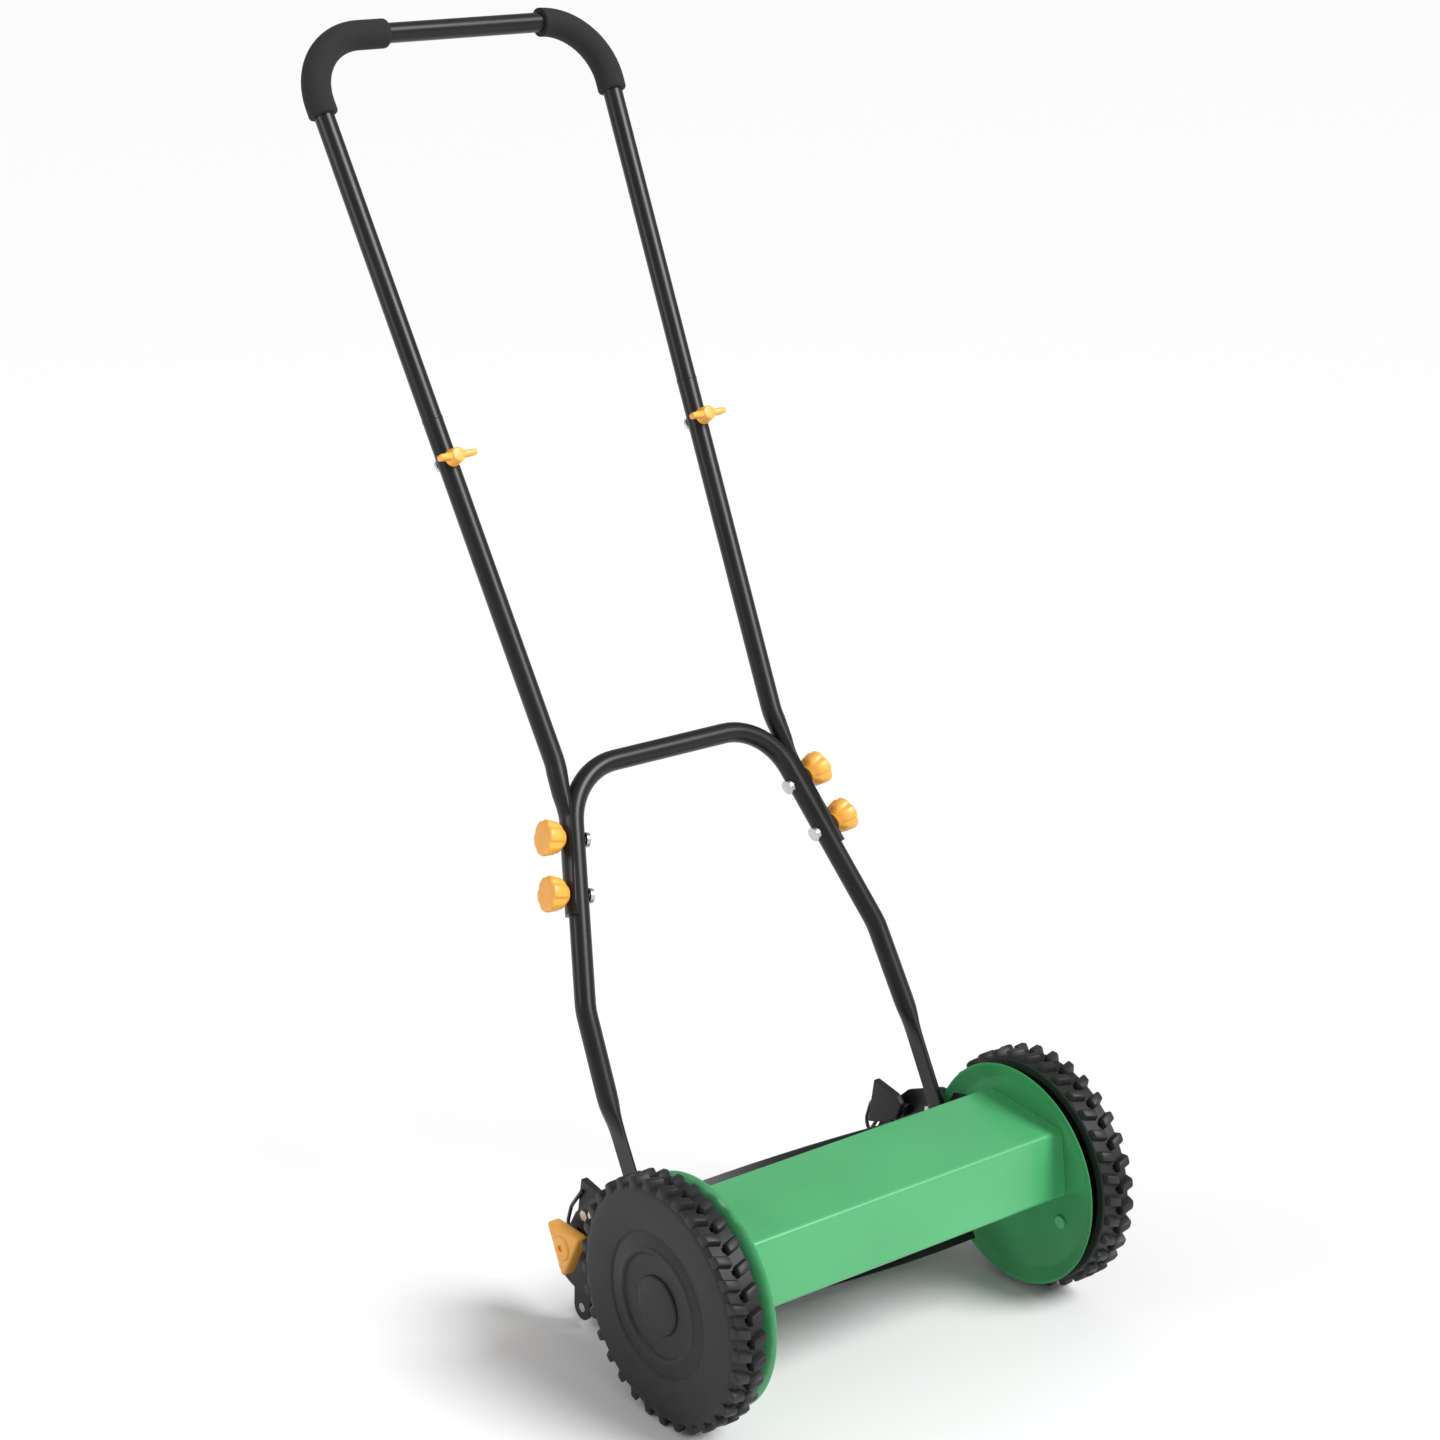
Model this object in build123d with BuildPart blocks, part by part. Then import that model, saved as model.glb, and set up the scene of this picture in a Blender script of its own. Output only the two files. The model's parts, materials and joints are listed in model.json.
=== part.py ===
"""Push reel mower with a hand-driven cutting cylinder, built as separate pieces.

Millimetres. +Z is up and -Y is the way the mower is pushed. The origin lies on the ground under the
middle of the bounding box. "Left" is +X and "right" is -X, so each paired piece takes side +1 or -1.
"""
import os
from math import cos, degrees, radians, sin, sqrt

from build123d import *

os.makedirs("parts", exist_ok=True)

# ---- driving dimensions -------------------------------------------------------------------------
WHEEL_R = 105.0  # over the tread lugs, and the height of the axle
AXLE_Y = -250.0
WHEEL_OUT = 214.5  # |x| of the wheel's outer face
WHEEL_IN = 182.5
TREAD_R = 99.5
LUGS = 33  # lugs in each of the two rows
LUG_PHASE = 6.1
WEB_IN = 176.0  # |x| of the side plate's inner face
WEB_OUT = 177.5
PLATE_R = 97.9
RIM_EDGE = 169.7
AXLE_R = 8.0
RUN = 0.05  # radial clearance of a running fit
SHEET = 1.2

REEL_Y = AXLE_Y + 57.0
REEL_Z = 90.76
REEL_R = 62.0
REEL_HALF = 150.0
BLADES = 5
BLADE_THICK = 2.2
BLADE_ROOT = 46.0
REEL_TWIST = 45.0
BLADE_PHASE = 57.0
SHAFT_R = 6.0

MODULE = 2.5
RING_TEETH = 60
PINION_TEETH = 13
TOOTH_REACH = 1.7  # height of a tooth beyond its pitch circle
GEAR_IN = 186.0
GEAR_OUT = 198.0

BRACKET_IN = 173.0
PIVOT_Y = AXLE_Y + 82.0
PIVOT_Z = 122.5
ARM_IN = 160.0
ARM_THICK = 4.0
LEAN = radians(29.0)  # handle's lean back from upright
TUBE_R = 9.0
TUBE_WALL = 1.5
BOLT_R = 3.0

ROLLER_Y = AXLE_Y + 160.0
ROLLER_R = 18.0
ROLLER_HALF = 150.0
CARRIER_IN = 169.7
CARRIER_OUT = 172.7
HEIGHT_Y = AXLE_Y + 158.0
HEIGHT_Z = 82.0

HOOK_IN = 159.0
HOOK_OUT = 165.0
HOOK_HOLE = (AXLE_Y + 157.0, 121.0)

# Handle outline in its own plane: x across, s up the slope from the pivot.
FLAT_END = (163.0, 97.0)
LOW_BEND = (158.0, 185.0)
LOW_CORNER = (104.9, 381.0)
MID_BEND = (117.0, 388.0)
MID_TOP = 700.0
TOP_CORNER = (156.8, 1049.0)
LOW_CORNER_R = 60.0
TOP_CORNER_R = 57.0
CLAMP_S = (278.0, 324.0)  # the two clamp bolts on each arm
WING_S = 662.0
GRIP_R = 13.0
GRIP_FOOT_S = 978.0
GRIP_ENDS = {1: 96.0, -1: 68.0}  # where each grip stops on the crossbar
CLAMP_KNOB_BASE = 12.6  # knob's seat, out from the arm's centre line
CLAMP_KNOB_LENGTH = 23.0
CLAMP_KNOB_R = 15.5

SIDES = {"left": 1, "right": -1}


# ---- planes and plain outlines -------------------------------------------------------------------
def across(x, y=AXLE_Y, z=WHEEL_R):
    """Plane facing +X through a point, with local axes +Y and +Z."""
    return Plane(origin=(x, y, z), x_dir=(0, 1, 0), z_dir=(1, 0, 0))


HANDLE = Plane(origin=(0, PIVOT_Y, PIVOT_Z), x_dir=(1, 0, 0), z_dir=(0, -cos(LEAN), sin(LEAN)))


def on_handle(x, s, n=0.0):
    """World point of a place in the handle's plane, n in front of it."""
    return HANDLE.from_local_coords(Vector(x, s, n))


def handle_plane(x, s, dx, ds, n=0.0):
    """Plane at a place on the handle, facing the in-plane direction (dx, ds)."""
    facing = HANDLE.x_dir * dx + HANDLE.y_dir * ds
    return Plane(origin=on_handle(x, s, n), x_dir=HANDLE.z_dir, z_dir=facing)


def ring(plane, radius, bore=0.0):
    """Disc outline with an optional round hole."""
    with BuildSketch(plane) as face:
        Circle(radius)
        if bore:
            Circle(bore, mode=Mode.SUBTRACT)
    return face.sketch


def hexagon(plane, radius, bore=0.0):
    """Nut or bolt-head outline."""
    with BuildSketch(plane) as face:
        RegularPolygon(radius, 6)
        if bore:
            Circle(bore, mode=Mode.SUBTRACT)
    return face.sketch


def save(piece, name):
    """Label a finished solid and write it to its own file."""
    piece.label = name
    export_step(piece, f"parts/{name}.step")


# ---- side plates and cover ----------------------------------------------------------------------
BRACKET_OUTLINE = [
    (28, 138), (62, 152), (98, 148), (140, 130), (163, 108), (191, 60),
    (188, 44), (172, 38), (122, 26), (92, 26), (74, 52), (28, 104),
]
BRACKET_BOLTS = [(40.0, 128.0), (40.0, 112.0)]
RIVET_YZ = (-56.0, 80.0)
COVER_PROFILE = [(37.9, 171.5), (-52.1, 164.4), (-60.2, 107.0)]


def bracket_face(x, grow=0.0):
    """Outline of a rear bracket, grown evenly when it is used as a cutter."""
    with BuildSketch(across(x, AXLE_Y, 0)) as face:
        with BuildLine():
            Polyline(*BRACKET_OUTLINE, close=True)
        make_face()
        offset(amount=-8.0, kind=Kind.INTERSECTION)
        offset(amount=8.0 + grow, kind=Kind.ARC)
    return face.sketch


def make_side_plate(side):
    """Dished disc with a rim turned inwards, open at the rear for the bracket."""
    with BuildPart() as plate:
        extrude(ring(across(side * RIM_EDGE), PLATE_R), amount=side * (WEB_OUT - RIM_EDGE))
        with BuildSketch(across(side * RIM_EDGE)):
            Circle(PLATE_R - SHEET)
        extrude(amount=side * (WEB_IN - RIM_EDGE), mode=Mode.SUBTRACT)
        extrude(ring(across(side * WEB_IN), AXLE_R), amount=side * 2, mode=Mode.SUBTRACT)
        extrude(ring(across(side * WEB_IN, REEL_Y, REEL_Z), 12.0), amount=side * 2, mode=Mode.SUBTRACT)
        rivet = across(side * WEB_IN, AXLE_Y + RIVET_YZ[0], RIVET_YZ[1])
        extrude(ring(rivet, BOLT_R), amount=side * 2, mode=Mode.SUBTRACT)
        for y, z in BRACKET_BOLTS:
            hole = across(side * WEB_IN, AXLE_Y + y, z)
            extrude(ring(hole, BOLT_R), amount=side * 2, mode=Mode.SUBTRACT)
        notch = side * (WEB_IN - RIM_EDGE + 1)
        extrude(bracket_face(side * (RIM_EDGE - 1), 0.8), amount=notch, mode=Mode.SUBTRACT)
    return plate.part


def make_cover():
    """Folded sheet between the plates, with an end tab at each side."""
    with BuildPart() as cover:
        with BuildSketch(across(-WEB_IN, AXLE_Y, 0)):
            with BuildLine():
                FilletPolyline(*COVER_PROFILE, radius=5.0)
            trace(line_width=SHEET)
        extrude(amount=2 * WEB_IN)
        for side in SIDES.values():
            with BuildSketch(across(side * (WEB_IN - SHEET), AXLE_Y, 0)):
                with Locations((-12, 158)):
                    Rectangle(60, 19)
            extrude(amount=side * SHEET)
    return cover.part


def make_cover_screws():
    """Pan-head screws inside the end tabs of the cover."""
    with BuildPart() as screws:
        for side in SIDES.values():
            for y in (-30.0, 6.0):
                head = across(side * (WEB_IN - SHEET), AXLE_Y + y, 156.0)
                extrude(ring(head, 4.5), amount=-side * 2.5)
    return screws.part


def make_plate_rivets():
    """Round-headed rivet in the front of each side plate."""
    with BuildPart() as rivets:
        for side in SIDES.values():
            seat = across(side * WEB_IN, AXLE_Y + RIVET_YZ[0], RIVET_YZ[1])
            extrude(ring(seat, 5.5), amount=-side * 2.4)
            extrude(ring(seat, BOLT_R), amount=side * (WEB_OUT - WEB_IN))
            tail = across(side * WEB_OUT, AXLE_Y + RIVET_YZ[0], RIVET_YZ[1])
            extrude(ring(tail, 4.5), amount=side * 1.6)
    return rivets.part


# ---- wheels ------------------------------------------------------------------------------------
WHEEL_WEB = (207.5, 211.5)
BUSH_R = 11.0
CAP_R = 25.0


def make_axle_stub(side):
    """Flanged stub that the wheel turns on, riveted in the side plate."""
    with BuildPart() as stub:
        extrude(ring(across(side * 172.0), 16.0), amount=side * (WEB_IN - 172.0))
        extrude(ring(across(side * WEB_IN), AXLE_R), amount=side * (207.0 - WEB_IN))
        extrude(ring(across(side * 207.0), 6.0), amount=side * 2.2)
    return stub.part


def make_axle_clips():
    """Retaining washer on the end of each stub."""
    with BuildPart() as clips:
        for side in SIDES.values():
            extrude(ring(across(side * 207.2), 10.0, 6.0), amount=side * 1.5)
    return clips.part


def tooth_outline(plane, teeth, inward, phase):
    """Straight-flanked gear teeth about the plane's origin, root side running under the rim."""
    pitch_r = MODULE * teeth / 2
    step = -1 if inward else 1
    rows = [(-3.0, 2.1), (0.0, 1.45), (TOOTH_REACH, 0.75)]
    flank = [(pitch_r + step * height, half) for height, half in rows]
    outline = flank + [(r, -half) for r, half in reversed(flank)]
    with BuildSketch(plane) as face:
        with PolarLocations(0, teeth, start_angle=phase):
            with BuildLine(mode=Mode.PRIVATE) as edge:
                Polyline(*outline, close=True)
            add(make_face(edge.edges(), mode=Mode.PRIVATE))
    return face.sketch


def make_wheel(side):
    """One-piece moulded wheel: tread with two staggered rows of lugs, web, boss and ring gear."""
    tip = sqrt(WHEEL_R**2 - 4.5**2)
    row_length = (WHEEL_OUT - WHEEL_IN - 3.0) / 2
    with BuildPart() as wheel:
        extrude(ring(across(side * WHEEL_IN), TREAD_R, 91.0), amount=side * (213.5 - WHEEL_IN))
        extrude(ring(across(side * WHEEL_WEB[0]), 92.0, BUSH_R), amount=side * 4)
        extrude(ring(across(side * 183.5), 16.0, BUSH_R), amount=side * (WHEEL_WEB[0] - 183.5))
        extrude(ring(across(side * WHEEL_WEB[1]), 48.0, 44.0), amount=side * 2.0)
        extrude(ring(across(side * GEAR_IN), 83.0, 77.6), amount=side * (WHEEL_WEB[0] - GEAR_IN))
        extrude(tooth_outline(across(side * GEAR_IN), RING_TEETH, True, gear_phase()),
                amount=side * (GEAR_OUT - GEAR_IN))
        for row in (0, 1):
            x = WHEEL_IN + 1.0 + row * (row_length + 1.0)
            phase = LUG_PHASE + (1 - row) * 180.0 / LUGS
            with BuildSketch(across(side * x)):
                with PolarLocations((TREAD_R - 2 + tip) / 2, LUGS, start_angle=phase):
                    Rectangle(tip - TREAD_R + 2, 9.0)
            extrude(amount=side * row_length)
    return wheel.part


def gear_phase():
    """Angle that puts a ring tooth space on the line from the axle to the reel, in degrees."""
    line = Vector(REEL_Y - AXLE_Y, REEL_Z - WHEEL_R, 0).get_signed_angle(Vector(1, 0, 0), Vector(0, 0, -1))
    return line + 180.0 / RING_TEETH


def make_wheel_bush(side):
    """Plain bush pressed in the wheel's boss."""
    with BuildPart() as bush:
        extrude(ring(across(side * 183.0), BUSH_R, AXLE_R + RUN), amount=side * 23.5)
    return bush.part


def make_hub_cap(side):
    """Domed cap clipped over the middle of the wheel."""
    with BuildPart() as cap:
        extrude(ring(across(side * WHEEL_WEB[1]), CAP_R), amount=side * 3.0)
        chamfer(cap.faces().sort_by(Axis.X)[-1 if side > 0 else 0].edges(), length=1.0)
    return cap.part


# ---- cutting reel --------------------------------------------------------------------------------
def make_reel_bearing(side):
    """Flanged bearing in the side plate for the reel shaft."""
    with BuildPart() as bearing:
        seat = across(side * 172.0, REEL_Y, REEL_Z)
        extrude(ring(seat, 17.0, SHAFT_R + RUN), amount=side * (WEB_IN - 172.0))
        sleeve = across(side * 166.0, REEL_Y, REEL_Z)
        extrude(ring(sleeve, 12.0, SHAFT_R + RUN), amount=side * 14.0)
    return bearing.part


def make_reel_shaft():
    """Spindle of the reel, with a keyway at each end."""
    with BuildPart() as shaft:
        extrude(ring(across(-202.0, REEL_Y, REEL_Z), SHAFT_R), amount=404.0)
        for side in SIDES.values():
            with Locations((side * 192.0, REEL_Y, REEL_Z + SHAFT_R)):
                Box(10, 3, 3, mode=Mode.SUBTRACT)
    return shaft.part


def make_ratchet_keys():
    """Sliding keys that drive the reel forwards."""
    with BuildPart() as keys:
        for side in SIDES.values():
            with Locations((side * 192.0, REEL_Y, REEL_Z + SHAFT_R)):
                Box(10, 3, 3)
    return keys.part


def make_pinion(side):
    """Small gear on the reel shaft, in mesh with the wheel's ring gear."""
    phase = gear_phase() - 180.0 / RING_TEETH
    with BuildPart() as pinion:
        seat = across(side * (GEAR_IN + 0.5), REEL_Y, REEL_Z)
        extrude(ring(seat, MODULE * PINION_TEETH / 2 - 2.4, SHAFT_R), amount=side * 11.0)
        extrude(tooth_outline(seat, PINION_TEETH, False, phase), amount=side * 11.0)
        with Locations((side * 192.0, REEL_Y, REEL_Z + SHAFT_R)):
            Box(10, 3, 3, mode=Mode.SUBTRACT)
    return pinion.part


def blade_face(x, turn):
    """Cross-section of one blade at a place along the reel."""
    with BuildSketch(across(x, REEL_Y, REEL_Z)) as face:
        with PolarLocations((BLADE_ROOT + REEL_R) / 2, 1, start_angle=turn):
            Rectangle(REEL_R - BLADE_ROOT, BLADE_THICK)
    return face.sketch


def blade_turn(x):
    """Angle of the first blade at a place along the reel, in degrees."""
    return BLADE_PHASE + REEL_TWIST * (x + 85.0) / (2 * REEL_HALF)


def make_blades():
    """Helical blades, each lofted through evenly turned sections."""
    stations = [REEL_HALF * (k - 4) / 4 for k in range(9)]
    blades = []
    for blade in range(BLADES):
        with BuildPart() as one:
            step = 360.0 * blade / BLADES
            loft([blade_face(x, blade_turn(x) + step) for x in stations])
        blades.append(one.part)
    return Compound(children=blades)


SPIDERS = [-135.0, -45.0, 45.0, 135.0]


def make_spiders():
    """Star-shaped carriers on the shaft, one arm to each blade."""
    with BuildPart() as spiders:
        for x in SPIDERS:
            with BuildSketch(across(x - 1.5, REEL_Y, REEL_Z)):
                Circle(20.0)
                with PolarLocations(BLADE_ROOT / 2, BLADES, start_angle=blade_turn(x)):
                    Rectangle(BLADE_ROOT - 0.6, 12.0)
                Circle(SHAFT_R, mode=Mode.SUBTRACT)
            extrude(amount=3.0)
    return spiders.part


# ---- bed knife -----------------------------------------------------------------------------------
BED_BOLT = (104.0, 38.0)
KNIFE_SCREWS = [-132.0, -66.0, 0.0, 66.0, 132.0]


def make_bed_bar():
    """Angle bar behind the reel that carries the fixed knife."""
    outline = [(88, 29.5), (112, 29.5), (112, 46), (108, 46), (108, 34.5), (88, 34.5)]
    with BuildPart() as bar:
        with BuildSketch(across(-BRACKET_IN, AXLE_Y, 0)):
            with BuildLine():
                Polyline(*outline, close=True)
            make_face()
        extrude(amount=2 * BRACKET_IN)
        for side in SIDES.values():
            lug = across(side * BRACKET_IN, AXLE_Y + BED_BOLT[0], BED_BOLT[1])
            extrude(ring(lug, 6.0), amount=-side * 5.0)
            extrude(ring(lug, BOLT_R), amount=-side * 5.0, mode=Mode.SUBTRACT)
        for x in KNIFE_SCREWS:
            with Locations((x, AXLE_Y + 96, 32)):
                Cylinder(2.5, 12, mode=Mode.SUBTRACT)
    return bar.part


def make_bed_knife():
    """Fixed blade under the bed bar."""
    with BuildPart() as knife:
        with Locations((0, AXLE_Y + 88, 28.0)):
            Box(330, 36, 3.0)
        for x in KNIFE_SCREWS:
            with Locations((x, AXLE_Y + 96, 28.0)):
                Cylinder(2.5, 6, mode=Mode.SUBTRACT)
    return knife.part


def make_bed_knife_screws():
    """Screws from under the knife into the bed bar."""
    with BuildPart() as screws:
        for x in KNIFE_SCREWS:
            with BuildSketch(Plane.XY.offset(24.3)):
                with Locations((x, AXLE_Y + 96)):
                    Circle(4.5)
            extrude(amount=2.2)
            with BuildSketch(Plane.XY.offset(26.5)):
                with Locations((x, AXLE_Y + 96)):
                    Circle(2.5)
            extrude(amount=8.0)
    return screws.part


def make_bed_bar_bolts():
    """Bolts through the rear brackets into the ends of the bed bar."""
    with BuildPart() as bolts:
        for side in SIDES.values():
            head = across(side * WEB_IN, AXLE_Y + BED_BOLT[0], BED_BOLT[1])
            extrude(hexagon(head, 6.5), amount=side * 4.0)
            extrude(ring(head, BOLT_R), amount=-side * 8.0)
    return bolts.part


# ---- rear brackets, hooks and roller -------------------------------------------------------------
HOOK_BOLTS = [(139.0, 114.0), (150.0, 110.0)]
STOP_PIN = (100.2, 129.5)
HEIGHT_TRAVEL = 10.0


def make_rear_bracket(side):
    """Plate that carries the handle pivot, bed bar, hook and height slot."""
    holes = [BED_BOLT, STOP_PIN, (PIVOT_Y - AXLE_Y, PIVOT_Z)] + HOOK_BOLTS + BRACKET_BOLTS
    with BuildPart() as bracket:
        extrude(bracket_face(side * BRACKET_IN), amount=side * 3.0)
        with BuildSketch(across(side * BRACKET_IN, AXLE_Y, 0)):
            with Locations((REEL_Y - AXLE_Y, REEL_Z)):
                Circle(20.0)
            with Locations((HEIGHT_Y - AXLE_Y, HEIGHT_Z)):
                SlotCenterToCenter(2 * HEIGHT_TRAVEL + 1, 7.0, rotation=90)
            for y, z in holes:
                with Locations((y, z)):
                    Circle(BOLT_R)
            with Locations((0, WHEEL_R)):
                Circle(24.0)
        extrude(amount=side * 3.0, mode=Mode.SUBTRACT)
    return bracket.part


def make_bracket_bolts():
    """Bolts and nuts that join each rear bracket to its side plate."""
    with BuildPart() as bolts:
        for side in SIDES.values():
            for y, z in BRACKET_BOLTS:
                head = across(side * BRACKET_IN, AXLE_Y + y, z)
                extrude(hexagon(head, 5.5), amount=-side * 3.0)
                extrude(ring(head, BOLT_R), amount=side * 4.5)
                nut = across(side * WEB_OUT, AXLE_Y + y, z)
                extrude(hexagon(nut, 5.5), amount=side * 3.0)
    return bolts.part


def make_bag_hook(side):
    """Fin-shaped hook for the grass box, standing off the bracket on a foot."""
    outline = [(133, 121), (141, 128), (171, 133), (178, 88), (161, 94), (140, 104)]
    with BuildPart() as hook:
        with BuildSketch(across(side * HOOK_IN, AXLE_Y, 0)):
            with BuildLine():
                Polyline(*outline, close=True)
            make_face()
        extrude(amount=side * (HOOK_OUT - HOOK_IN))
        with BuildSketch(across(side * HOOK_OUT, AXLE_Y, 0)):
            with Locations((145, 112)):
                Rectangle(20, 9)
        extrude(amount=side * (BRACKET_IN - HOOK_OUT))
        hole = across(side * HOOK_IN, *HOOK_HOLE)
        extrude(ring(hole, 3.0), amount=side * 6, mode=Mode.SUBTRACT)
        for y, z in HOOK_BOLTS:
            bore = across(side * BRACKET_IN, AXLE_Y + y, z)
            extrude(ring(bore, BOLT_R), amount=-side * 10, mode=Mode.SUBTRACT)
    return hook.part


def make_hook_wire(side):
    """Springy wire keeper beside the hook."""
    x = side * (HOOK_OUT + 1.5)
    with BuildPart() as wire:
        with BuildLine(across(x, AXLE_Y, 0)) as path:
            loop = FilletPolyline((167, 124), (183, 104), (193, 74), (184, 72), (168, 100), radius=4.0)
        sweep(tube_face(loop, 1.4), path=path.wires()[0])
    return wire.part


def make_hook_bolts():
    """Bolts from outside each rear bracket into the foot of its hook."""
    with BuildPart() as bolts:
        for side in SIDES.values():
            for y, z in HOOK_BOLTS:
                head = across(side * WEB_IN, AXLE_Y + y, z)
                extrude(hexagon(head, 5.0), amount=side * 1.6)
                extrude(ring(head, BOLT_R), amount=-side * 12.0)
    return bolts.part


def make_roller_carrier(side):
    """Sliding leg that holds one end of the rear roller."""
    with BuildPart() as carrier:
        with BuildSketch(across(side * CARRIER_IN, AXLE_Y, 0)):
            top = (HEIGHT_Y - AXLE_Y, HEIGHT_Z)
            foot = (ROLLER_Y - AXLE_Y, ROLLER_R)
            with Locations(top, foot):
                Circle(11.0)
            make_hull()
            with Locations(top):
                Circle(BOLT_R, mode=Mode.SUBTRACT)
            with Locations(foot):
                Circle(4.0 + RUN, mode=Mode.SUBTRACT)
        extrude(amount=side * (CARRIER_OUT - CARRIER_IN))
    return carrier.part


def make_height_bolts():
    """Clamp bolts that pass from each carrier through the bracket's slot."""
    with BuildPart() as bolts:
        for side in SIDES.values():
            head = across(side * CARRIER_IN, HEIGHT_Y, HEIGHT_Z)
            extrude(hexagon(head, 5.5), amount=-side * 3.5)
            extrude(ring(head, BOLT_R), amount=side * 24.0)
    return bolts.part


def make_roller():
    """Wooden rear roller with a bore for its shaft."""
    with BuildPart() as roller:
        extrude(ring(across(-ROLLER_HALF, ROLLER_Y, ROLLER_R), ROLLER_R, 4.0), amount=2 * ROLLER_HALF)
        chamfer(roller.faces().filter_by(GeomType.CYLINDER).sort_by(SortBy.AREA)[-1].edges(), length=2.0)
    return roller.part


def make_roller_shaft():
    """Steel rod that turns in the two carriers."""
    with BuildPart() as rod:
        extrude(ring(across(-CARRIER_OUT, ROLLER_Y, ROLLER_R), 4.0), amount=2 * CARRIER_OUT)
    return rod.part


def make_height_knob(side):
    """Three-winged clamp knob for the cutting height."""
    with BuildPart() as knob:
        extrude(ring(across(side * 178.0, HEIGHT_Y, HEIGHT_Z), 11.0), amount=side * 18.0)
        with BuildSketch(across(side * 182.0, HEIGHT_Y, HEIGHT_Z)):
            with PolarLocations(14.0, 3, start_angle=270):
                Rectangle(20.0, 9.0)
        extrude(amount=side * 12.0)
        fillet(knob.edges().filter_by(Axis.X).group_by(Axis.Y)[-1], radius=2.0)
        extrude(ring(across(side * 178.0, HEIGHT_Y, HEIGHT_Z), BOLT_R + RUN), amount=side * 16,
                mode=Mode.SUBTRACT)
    return knob.part


# ---- handle --------------------------------------------------------------------------------------
ARM_STEP = Vector(LOW_CORNER[0] - LOW_BEND[0], LOW_CORNER[1] - LOW_BEND[1], 0).normalized()
UPPER_STEP = Vector(TOP_CORNER[0] - MID_BEND[0], TOP_CORNER[1] - MID_BEND[1], 0).normalized()


def arm_x(s):
    """Distance of the lower arm's centre line from the middle, above its bend."""
    return LOW_BEND[0] + (s - LOW_BEND[1]) * ARM_STEP.X / ARM_STEP.Y


def upper_x(s):
    """Distance of the upper tubes' centre line from the middle, above their bend."""
    return MID_BEND[0] + (s - MID_BEND[1]) * UPPER_STEP.X / UPPER_STEP.Y


def tube_face(path, radius, bore=0.0):
    """Round section across the start of a path."""
    return ring(Plane(origin=path @ 0, z_dir=path % 0), radius, bore)


def clamp_plane(side, s, out=0.0):
    """Plane across a clamp bolt, so many millimetres out from the arm's centre line."""
    x = arm_x(s) + out * ARM_STEP.Y
    return handle_plane(side * x, s - out * ARM_STEP.X, side * ARM_STEP.Y, -ARM_STEP.X)


def wing_plane(side, front=0.0):
    """Plane across a wing bolt, so many millimetres in front of the tube's centre line."""
    return Plane(origin=on_handle(side * upper_x(WING_S), WING_S, front), x_dir=HANDLE.x_dir, z_dir=HANDLE.z_dir)


def left_arm_foot():
    """Flattened lower end of the left arm, with the hole for its pivot bolt."""
    run = Vector(LOW_BEND[0] - FLAT_END[0], LOW_BEND[1] - FLAT_END[1], 0).normalized()
    flat = FLAT_END[1] - 26.0
    with BuildPart() as foot:
        with BuildSketch(handle_plane(FLAT_END[0], FLAT_END[1], run.X, run.Y)):
            Circle(TUBE_R)
        with BuildSketch(handle_plane((ARM_IN + ARM_THICK / 2), flat, 0, 1)):
            Rectangle(2 * TUBE_R, ARM_THICK)
        loft()
        with BuildSketch(across(ARM_IN, PIVOT_Y, PIVOT_Z)):
            with Locations(Location((0, 0), 90 - degrees(LEAN))):
                with Locations((flat / 2, 0)):
                    SlotCenterToCenter(flat, 2 * TUBE_R)
            Circle(4.0 + RUN, mode=Mode.SUBTRACT)
        extrude(amount=ARM_THICK)
    return foot.part


def make_lower_handle():
    """Inverted U of tube with flattened ends that turn on the pivot bolts."""
    with BuildPart() as handle:
        with BuildLine(HANDLE) as path:
            arch = [FLAT_END, LOW_BEND, LOW_CORNER]
            arch += [(-x, s) for x, s in reversed(arch)]
            bar = FilletPolyline(*arch, radius=LOW_CORNER_R)
        sweep(tube_face(bar, TUBE_R, TUBE_R - TUBE_WALL), path=path.wires()[0])
        for side in SIDES.values():
            for s in CLAMP_S:
                extrude(ring(clamp_plane(side, s, -12.0), BOLT_R), amount=24, mode=Mode.SUBTRACT)
        foot = left_arm_foot()
        add(foot)
        add(foot.mirror(Plane.YZ))
    return handle.part


def make_middle_tube(side):
    """Bent tube whose lower end is pressed into a saddle over the lower arm."""
    saddle = (CLAMP_S[0] - 16.0, CLAMP_S[1] + 30.0)
    start = (arm_x(saddle[1] - 4) + 6.5, saddle[1] - 4)
    with BuildPart() as tube:
        with BuildLine(HANDLE) as path:
            bends = [start, MID_BEND, (upper_x(MID_TOP), MID_TOP)]
            axis = FilletPolyline(*[(side * x, s) for x, s in bends], radius=40.0)
        sweep(tube_face(axis, TUBE_R, TUBE_R - TUBE_WALL), path=path.wires()[0])
        foot = handle_plane(side * arm_x(saddle[0]), saddle[0], side * ARM_STEP.X, ARM_STEP.Y)
        length = (saddle[1] - saddle[0]) / ARM_STEP.Y
        extrude(ring(foot, TUBE_R + 3.2), amount=length)
        extrude(ring(foot, TUBE_R + 0.05), amount=length + 60, mode=Mode.SUBTRACT)
        inner = handle_plane(side * (arm_x(saddle[0]) - 12), saddle[0] - 5, side * ARM_STEP.X, ARM_STEP.Y)
        with BuildSketch(inner):
            Rectangle(30, 24)
        extrude(amount=length + 4, mode=Mode.SUBTRACT)
        for s in CLAMP_S:
            extrude(ring(clamp_plane(side, s), BOLT_R), amount=20, mode=Mode.SUBTRACT)
        extrude(ring(wing_plane(side, -12.0), BOLT_R), amount=24, mode=Mode.SUBTRACT)
    return tube.part


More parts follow.
